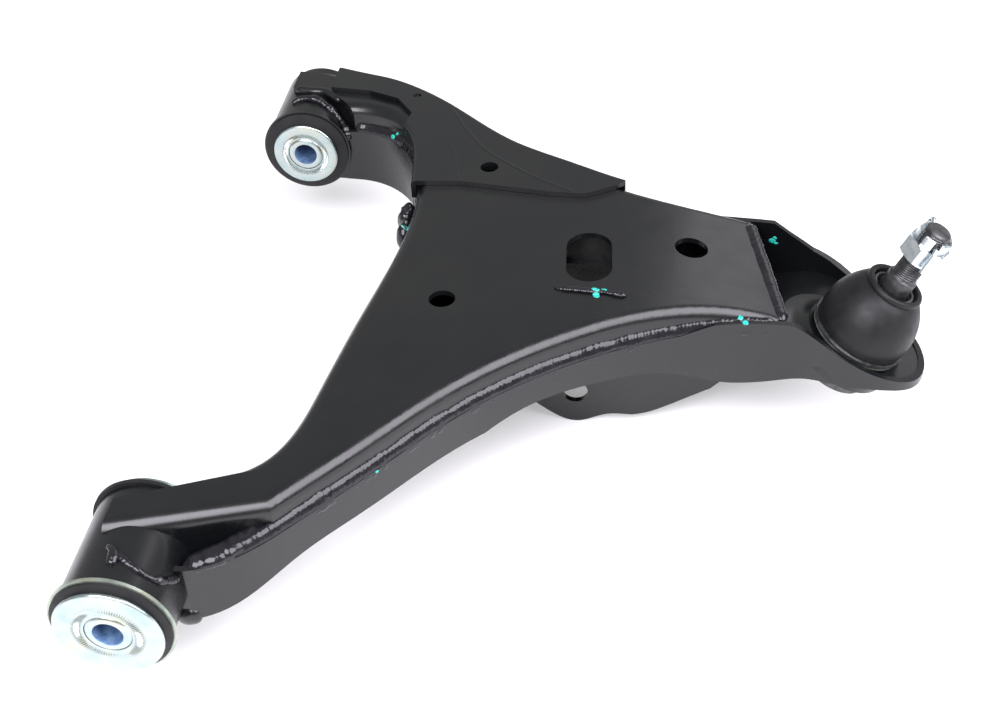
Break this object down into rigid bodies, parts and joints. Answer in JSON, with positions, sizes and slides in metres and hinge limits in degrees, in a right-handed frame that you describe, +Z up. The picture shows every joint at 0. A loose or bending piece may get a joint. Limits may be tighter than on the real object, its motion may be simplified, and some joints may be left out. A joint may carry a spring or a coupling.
{
  "type": "suspension control arm",
  "caption": "Pressed-steel lower control arm with two rubber pivot bushings, a shock absorber mount and a leaning ball joint with dust boot and castle nut.",
  "frame": {"origin": "centre of the rear bushing's bore", "axes": "+Y along the pivot axis from the rear bushing to the front one, +X outboard to the ball joint, +Z up"},
  "size_m": [0.4763, 0.5457, 0.1537],
  "materials": {
    "black_ecoat": "satin black e-coat over pressed steel",
    "zinc_plate": "bright zinc plate",
    "zinc_flange": "yellowish zinc plate",
    "bush_rubber": "moulded rubber",
    "boot_rubber": "smooth matt rubber",
    "dark_steel": "dark phosphated steel",
    "spring_steel": "oiled spring steel",
    "nut_zinc": "bright zinc plate",
    "acetal": "natural polymer"
  },
  "bodies": {
    "arm": {"upper_shell": "black_ecoat", "lower_shell": "black_ecoat", "front_leg_cover": "black_ecoat", "rear_shock_ear": "black_ecoat", "front_shock_ear": "black_ecoat", "rear_bush_tube": "black_ecoat", "rear_outer_sleeve": "zinc_flange", "rear_rubber": "bush_rubber", "front_bush_tube": "black_ecoat", "front_outer_sleeve": "zinc_flange", "front_rubber": "bush_rubber", "ball_joint_housing": "dark_steel", "ball_seat": "acetal", "joint_bottom_cap": "dark_steel", "joint_snap_ring": "dark_steel", "boot_seat_ring": "zinc_flange", "boot_base_clip": "spring_steel"},
    "rear_sleeve": {"rear_inner_sleeve": "zinc_plate", "rear_bush_rear_washer": "zinc_plate", "rear_bush_front_washer": "zinc_plate"},
    "front_sleeve": {"front_inner_sleeve": "zinc_plate", "front_bush_rear_washer": "zinc_plate", "front_bush_front_washer": "zinc_plate"},
    "boot": {"dust_boot": "boot_rubber"},
    "boot_neck": {"boot_upper_ring": "spring_steel"},
    "stud": {"ball_stud": "dark_steel", "castle_nut": "nut_zinc", "cotter_pin": "nut_zinc"}
  },
  "joints": [
    {"name": "rear_bush_twist", "type": "hinge", "parent": "arm", "child": "rear_sleeve", "pos_m": [0, 0, 0], "axis": [0, 1, 0], "range_deg": [-30, 30], "stiffness_Nm_per_rad": 20},
    {"name": "front_bush_twist", "type": "hinge", "parent": "arm", "child": "front_sleeve", "pos_m": [0, 0.4607, 0], "axis": [0, 1, 0], "range_deg": [-30, 30], "stiffness_Nm_per_rad": 20},
    {"name": "stud_tilt_fore_aft", "type": "hinge", "parent": "arm", "child": "boot", "pos_m": [0.38948, 0.229, -0.00805], "axis": [0.8949, 0, -0.4462], "range_deg": [-18, 18], "deforming": ["dust_boot"]},
    {"name": "stud_tilt_in_out", "type": "hinge", "parent": "boot", "child": "boot_neck", "pos_m": [0.38948, 0.229, -0.00805], "axis": [0, 1, 0], "range_deg": [-18, 18], "deforming": ["dust_boot"]},
    {"name": "stud_spin", "type": "hinge", "parent": "boot_neck", "child": "stud", "pos_m": [0.38948, 0.229, -0.00805], "axis": [0.4462, 0, 0.8949], "continuous": true}
  ]
}
